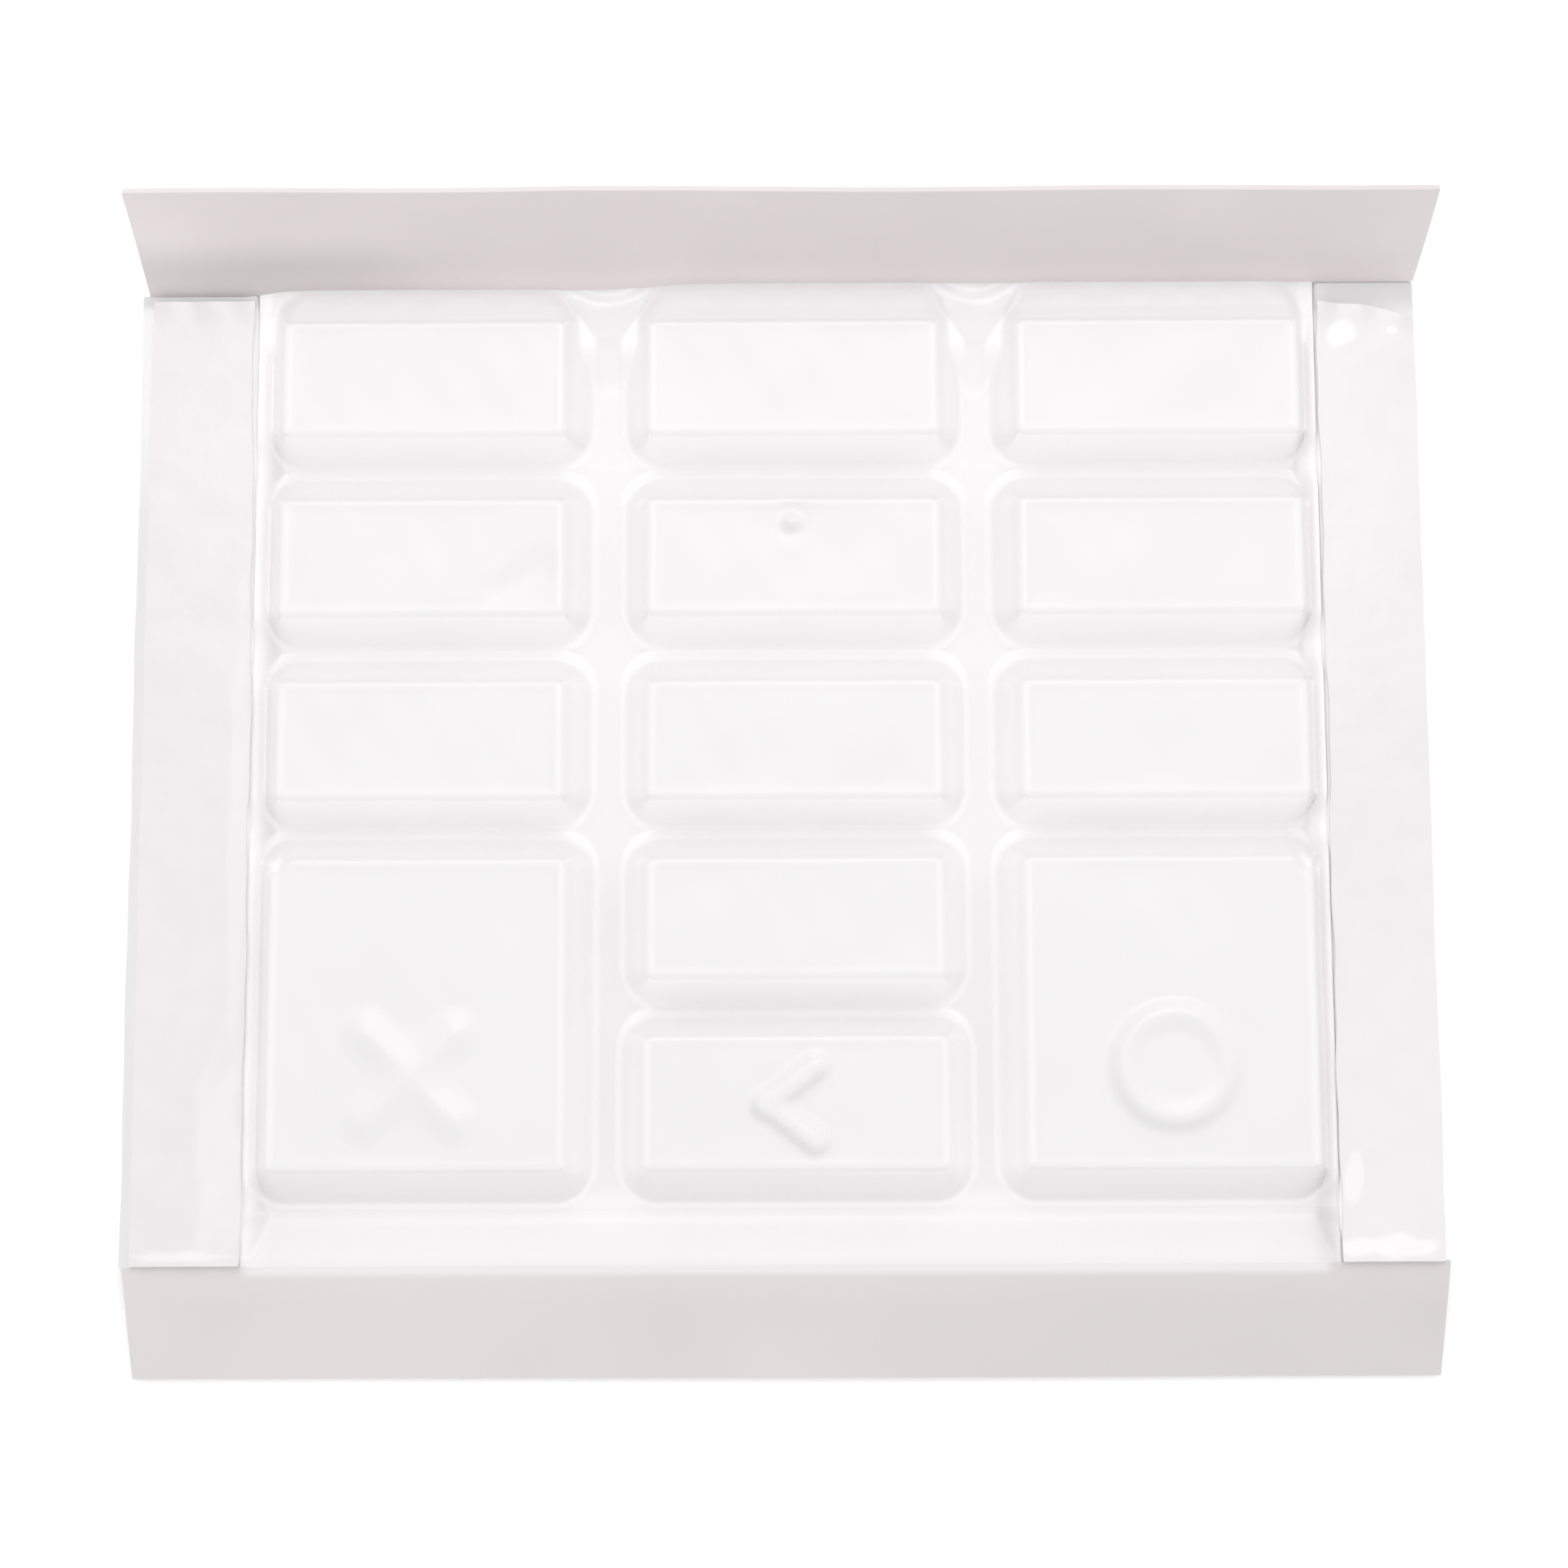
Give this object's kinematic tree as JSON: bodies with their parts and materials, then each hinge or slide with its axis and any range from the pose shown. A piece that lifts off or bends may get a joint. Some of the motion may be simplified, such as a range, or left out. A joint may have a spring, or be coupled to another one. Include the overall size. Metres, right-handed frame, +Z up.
{
  "type": "keypad spill cover",
  "caption": "Thin moulded film cover that fits over a PIN keypad: raised key pockets with tactile marks, taped side margins with peel-off liners, a sloping front flap and an upturned rear flap.",
  "frame": {"origin": "middle of the footprint, on the surface that the cover rests on", "axes": "+X to the user's right, across the columns of keys; +Y away from the user, towards the rear flap; +Z up, out of the key tops"},
  "size_m": [0.077, 0.0688, 0.0098],
  "materials": {
    "film": "thin milky moulded film, soft gloss",
    "pocket_film": "thin milky moulded film with a fine matt grain on the key tops",
    "flap_film": "the same film seen at a slant, lilac grey",
    "tape": "double-sided adhesive tape",
    "liner": "glossy peel-off release liner"
  },
  "bodies": {
    "sheet": {"cover_sheet": "film", "left_tape": "tape", "right_tape": "tape"},
    "front_flap": {"front_flap": "flap_film"},
    "rear_flap": {"rear_flap": "flap_film"},
    "left_liner": {"left_liner": "liner"},
    "right_liner": {"right_liner": "liner"},
    "pocket_1": {"pocket_1": "pocket_film"},
    "pocket_2": {"pocket_2": "pocket_film"},
    "pocket_3": {"pocket_3": "pocket_film"},
    "pocket_4": {"pocket_4": "pocket_film"},
    "pocket_5": {"pocket_5": "pocket_film"},
    "pocket_6": {"pocket_6": "pocket_film"},
    "pocket_7": {"pocket_7": "pocket_film"},
    "pocket_8": {"pocket_8": "pocket_film"},
    "pocket_9": {"pocket_9": "pocket_film"},
    "pocket_0": {"pocket_0": "pocket_film"},
    "pocket_cancel": {"pocket_cancel": "pocket_film"},
    "pocket_clear": {"pocket_clear": "pocket_film"},
    "pocket_enter": {"pocket_enter": "pocket_film"}
  },
  "joints": [
    {"name": "front_flap_crease", "type": "hinge", "parent": "sheet", "child": "front_flap", "pos_m": [0, -0.02758, 0.0021], "axis": [1, 0, 0], "range_deg": [-20, 60], "stiffness_Nm_per_rad": 0.02},
    {"name": "rear_flap_crease", "type": "hinge", "parent": "sheet", "child": "rear_flap", "pos_m": [0, 0.0305, 0.00268], "axis": [1, 0, 0], "range_deg": [-55, 20], "stiffness_Nm_per_rad": 0.02},
    {"name": "left_liner_peel", "type": "slide", "parent": "sheet", "child": "left_liner", "axis": [0, 0, 1], "range_m": [0, 0.02]},
    {"name": "right_liner_peel", "type": "slide", "parent": "sheet", "child": "right_liner", "axis": [0, 0, 1], "range_m": [0, 0.02]},
    {"name": "press_1", "type": "slide", "parent": "sheet", "child": "pocket_1", "axis": [0, 0, -1], "range_m": [0, 0.0012], "stiffness_N_per_m": 300},
    {"name": "press_2", "type": "slide", "parent": "sheet", "child": "pocket_2", "axis": [0, 0, -1], "range_m": [0, 0.0012], "stiffness_N_per_m": 300},
    {"name": "press_3", "type": "slide", "parent": "sheet", "child": "pocket_3", "axis": [0, 0, -1], "range_m": [0, 0.0012], "stiffness_N_per_m": 300},
    {"name": "press_4", "type": "slide", "parent": "sheet", "child": "pocket_4", "axis": [0, 0, -1], "range_m": [0, 0.0012], "stiffness_N_per_m": 300},
    {"name": "press_5", "type": "slide", "parent": "sheet", "child": "pocket_5", "axis": [0, 0, -1], "range_m": [0, 0.0012], "stiffness_N_per_m": 300},
    {"name": "press_6", "type": "slide", "parent": "sheet", "child": "pocket_6", "axis": [0, 0, -1], "range_m": [0, 0.0012], "stiffness_N_per_m": 300},
    {"name": "press_7", "type": "slide", "parent": "sheet", "child": "pocket_7", "axis": [0, 0, -1], "range_m": [0, 0.0012], "stiffness_N_per_m": 300},
    {"name": "press_8", "type": "slide", "parent": "sheet", "child": "pocket_8", "axis": [0, 0, -1], "range_m": [0, 0.0012], "stiffness_N_per_m": 300},
    {"name": "press_9", "type": "slide", "parent": "sheet", "child": "pocket_9", "axis": [0, 0, -1], "range_m": [0, 0.0012], "stiffness_N_per_m": 300},
    {"name": "press_0", "type": "slide", "parent": "sheet", "child": "pocket_0", "axis": [0, 0, -1], "range_m": [0, 0.0012], "stiffness_N_per_m": 300},
    {"name": "press_cancel", "type": "slide", "parent": "sheet", "child": "pocket_cancel", "axis": [0, 0, -1], "range_m": [0, 0.0012], "stiffness_N_per_m": 400},
    {"name": "press_clear", "type": "slide", "parent": "sheet", "child": "pocket_clear", "axis": [0, 0, -1], "range_m": [0, 0.0012], "stiffness_N_per_m": 300},
    {"name": "press_enter", "type": "slide", "parent": "sheet", "child": "pocket_enter", "axis": [0, 0, -1], "range_m": [0, 0.0012], "stiffness_N_per_m": 400}
  ]
}
